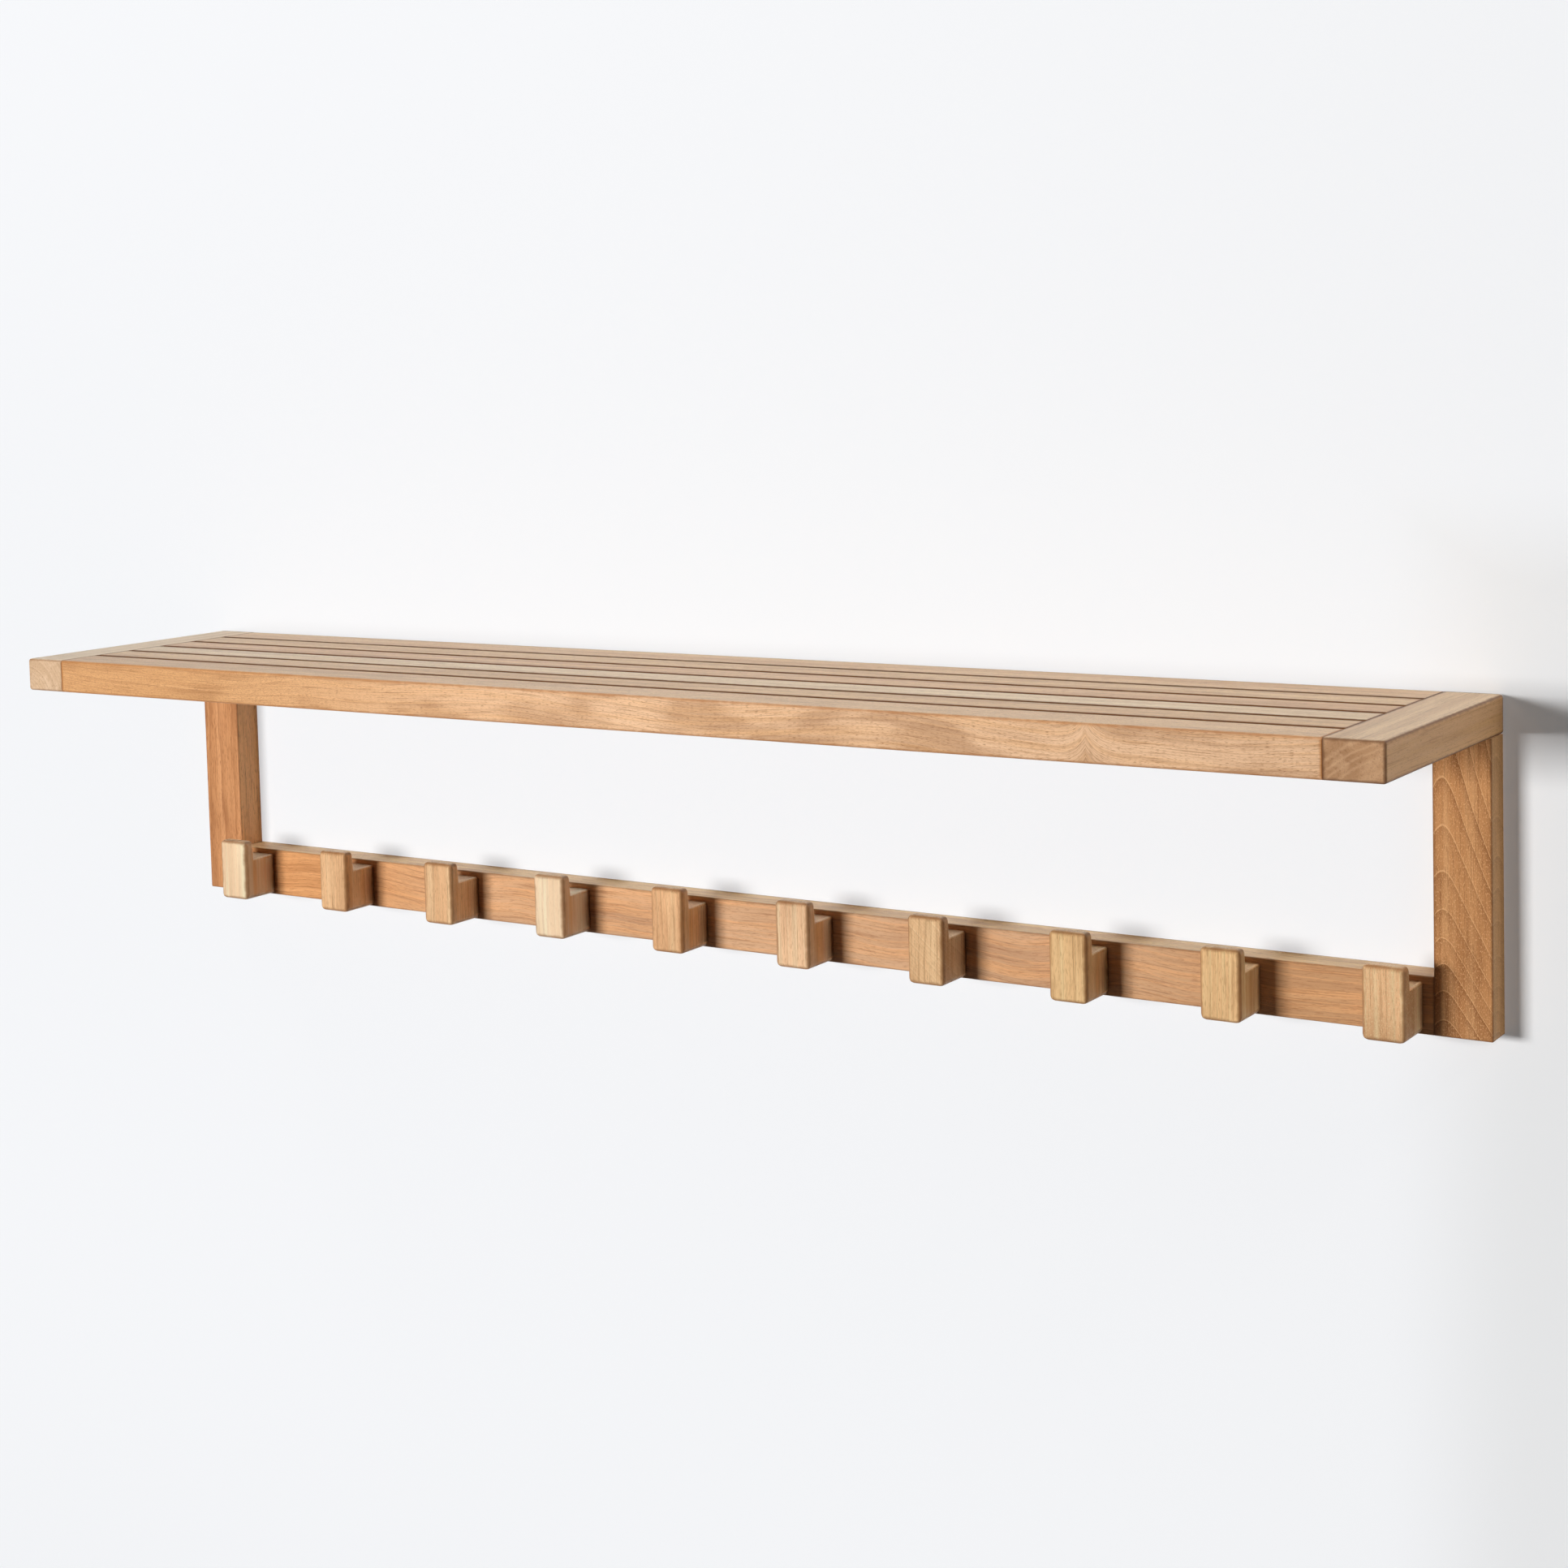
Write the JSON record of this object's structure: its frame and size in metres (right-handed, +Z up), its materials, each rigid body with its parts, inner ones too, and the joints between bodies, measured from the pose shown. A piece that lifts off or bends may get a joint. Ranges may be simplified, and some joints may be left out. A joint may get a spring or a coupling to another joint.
{
  "type": "wall shelf with hooks",
  "caption": "Slatted teak wall shelf: boards between end boards, on two uprights joined by a rail that carries a row of wooden hooks.",
  "frame": {"origin": "on the wall plane, midway between the entry holes of the two keyhole plates", "axes": "+X along the shelf to the right as seen from the room, +Y into the wall, +Z up"},
  "size_m": [1.2, 0.23, 0.235],
  "materials": {
    "teak_end_board": "oiled, silky",
    "teak_front_rail": "oiled, silky",
    "teak_slat": "oiled, silky",
    "teak_back_rail": "oiled, silky",
    "teak_upright": "oiled, silky",
    "teak_hook_rail": "oiled, silky",
    "teak_hook": "oiled, silky",
    "plate_steel": "zinc plated, satin",
    "screw_steel": "zinc plated, satin"
  },
  "bodies": {
    "root": {"end_board_left": "teak_end_board", "end_board_right": "teak_end_board", "front_rail": "teak_front_rail", "slat_1": "teak_slat", "slat_2": "teak_slat", "slat_3": "teak_slat", "slat_4": "teak_slat", "back_rail": "teak_back_rail", "upright_left": "teak_upright", "upright_right": "teak_upright", "hook_rail": "teak_hook_rail", "hook_01": "teak_hook", "hook_02": "teak_hook", "hook_03": "teak_hook", "hook_04": "teak_hook", "hook_05": "teak_hook", "hook_06": "teak_hook", "hook_07": "teak_hook", "hook_08": "teak_hook", "hook_09": "teak_hook", "hook_10": "teak_hook", "hook_screws": "screw_steel", "hanger_plate_left": "plate_steel", "hanger_plate_right": "plate_steel", "hanger_screws": "screw_steel"}
  },
  "joints": []
}
